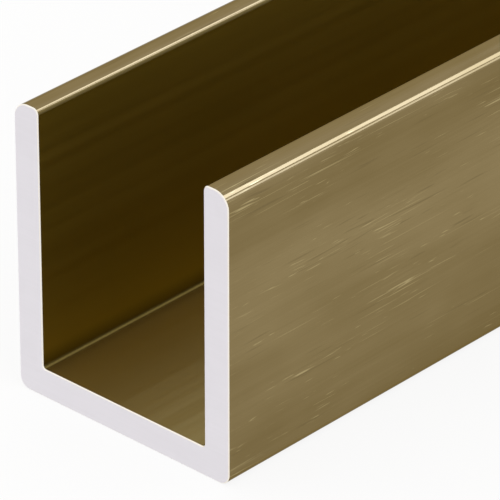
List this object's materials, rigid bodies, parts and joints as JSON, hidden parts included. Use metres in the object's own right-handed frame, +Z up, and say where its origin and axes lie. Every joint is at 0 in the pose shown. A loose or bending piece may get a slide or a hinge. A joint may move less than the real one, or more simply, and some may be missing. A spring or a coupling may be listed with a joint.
{
  "type": "u-channel",
  "caption": "Straight extruded U-channel with equal walls, rounded flange tips and heels, and a deep open slot that caps or holds a panel edge.",
  "frame": {"origin": "middle of the underside, the back of the web that the channel lies on", "axes": "+X across the section, +Y along the length, +Z up out of the slot"},
  "size_m": [0.022, 0.3, 0.025],
  "materials": {
    "bronze_anodised_aluminium": "brushed"
  },
  "bodies": {
    "root": {"u_channel": "bronze_anodised_aluminium"}
  },
  "joints": []
}
